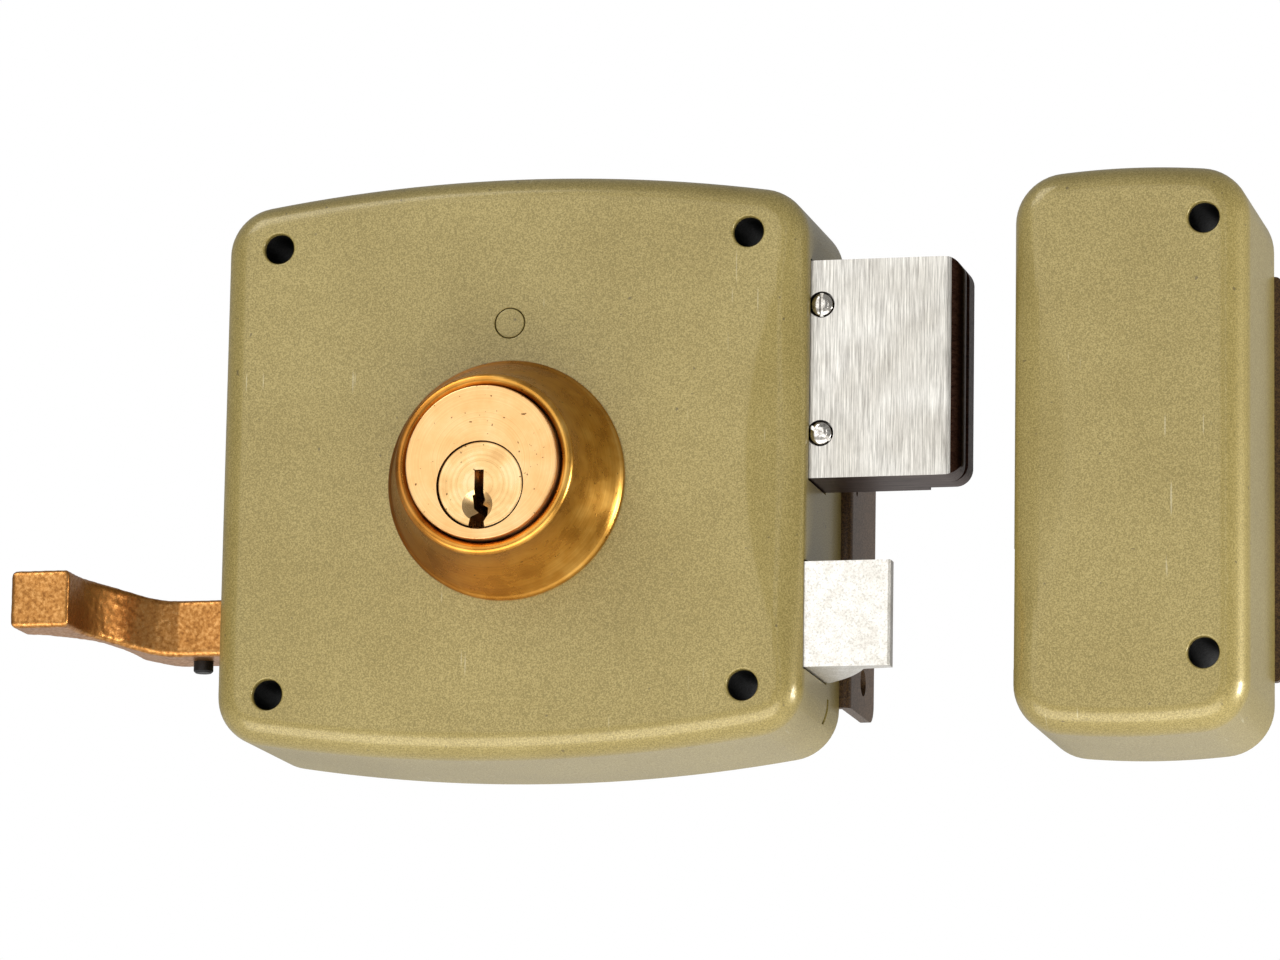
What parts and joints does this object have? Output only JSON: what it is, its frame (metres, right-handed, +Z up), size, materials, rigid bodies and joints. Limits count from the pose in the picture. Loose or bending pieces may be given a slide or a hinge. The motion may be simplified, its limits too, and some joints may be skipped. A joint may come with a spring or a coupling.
{
  "type": "rim lock",
  "caption": "Rim-mounted door lock with a thrown deadbolt, a sprung bevelled latch with a pull, an inside key cylinder and a box keeper.",
  "frame": {"origin": "centre of the hole for the outside cylinder, in the plane of the door's face", "axes": "+X from the case towards the keeper, +Y into the door, +Z up; the lock stands out from the door towards -Y"},
  "size_m": [0.2466, 0.0821, 0.118],
  "materials": {
    "case_enamel": "satin gold-olive metallic stoving enamel on drawn steel",
    "plate_enamel": "the same enamel, thinner, on the plates",
    "zinc_steel": "dull zinc-plated steel",
    "spring_steel": "bright drawn spring wire and strip",
    "turned_brass": "turned brass, lacquered and darkened",
    "cylinder_brass": "fine-turned pale brass",
    "cast_brass": "cast brass with a sandy skin, dark and coppery",
    "brushed_steel": "linished upright, clear",
    "bolt_rear_steel": "plain rolled steel, unpolished",
    "screw_nickel": "nickel-plated screw heads",
    "satin_nickel": "matt nickel plate with fine pits",
    "blackened_steel": "black oxide"
  },
  "bodies": {
    "lock_case": {"case_cover": "case_enamel", "back_plate": "plate_enamel", "screw_sleeves": "zinc_steel", "face_rivet": "case_enamel", "collar": "turned_brass", "cylinder_body": "cylinder_brass", "driver_pins": "cylinder_brass", "pin_springs": "spring_steel", "chamber_plugs": "cylinder_brass", "cylinder_bridge": "zinc_steel", "bridge_pillars": "zinc_steel", "cylinder_screws": "zinc_steel", "bolt_guide_posts": "zinc_steel", "detent_spring": "spring_steel", "detent_post": "zinc_steel", "rod_bracket": "zinc_steel", "latch_spring": "spring_steel", "lever_pivot": "zinc_steel"},
    "deadbolt": {"bolt_head": "brushed_steel", "bolt_nose": "bolt_rear_steel", "bolt_slide": "bolt_rear_steel", "bolt_screws": "screw_nickel"},
    "key_plug": {"key_plug": "cylinder_brass", "key_pins": "cylinder_brass", "plug_clip": "spring_steel", "key_cam": "zinc_steel", "cam_screw": "zinc_steel"},
    "latch": {"latch_head": "satin_nickel", "latch_rod": "zinc_steel", "rod_fork": "zinc_steel", "pull_handle": "cast_brass", "pull_screw": "blackened_steel"},
    "lever": {"retract_lever": "zinc_steel"},
    "keeper": {"keeper_cover": "case_enamel", "keeper_plate": "plate_enamel", "keeper_sleeves": "zinc_steel"}
  },
  "joints": [
    {"name": "deadbolt_slide", "type": "slide", "parent": "lock_case", "child": "deadbolt", "axis": [1, 0, 0], "range_m": [-0.029, 0]},
    {"name": "plug_turn", "type": "hinge", "parent": "lock_case", "child": "key_plug", "pos_m": [0, 0, -0.0045], "axis": [0, 1, 0], "range_deg": [-720, 0]},
    {"name": "latch_slide", "type": "slide", "parent": "lock_case", "child": "latch", "axis": [1, 0, 0], "range_m": [-0.015, 0], "stiffness_N_per_m": 250, "springref_m": 0.02, "deforming": ["latch_spring"]},
    {"name": "lever_swing", "type": "hinge", "parent": "lock_case", "child": "lever", "pos_m": [-0.0195, 0, 0.0075], "axis": [0, 1, 0], "range_deg": [0, 25]},
    {"name": "keeper_slide", "type": "slide", "parent": "lock_case", "child": "keeper", "axis": [1, 0, 0], "range_m": [-0.0375, 0]}
  ],
  "couplings": [
    {"joint": "plug_turn", "follows": "deadbolt_slide", "rad_per_m": 433.3},
    {"joint": "lever_swing", "follows": "latch_slide", "rad_per_m": -28.795}
  ]
}
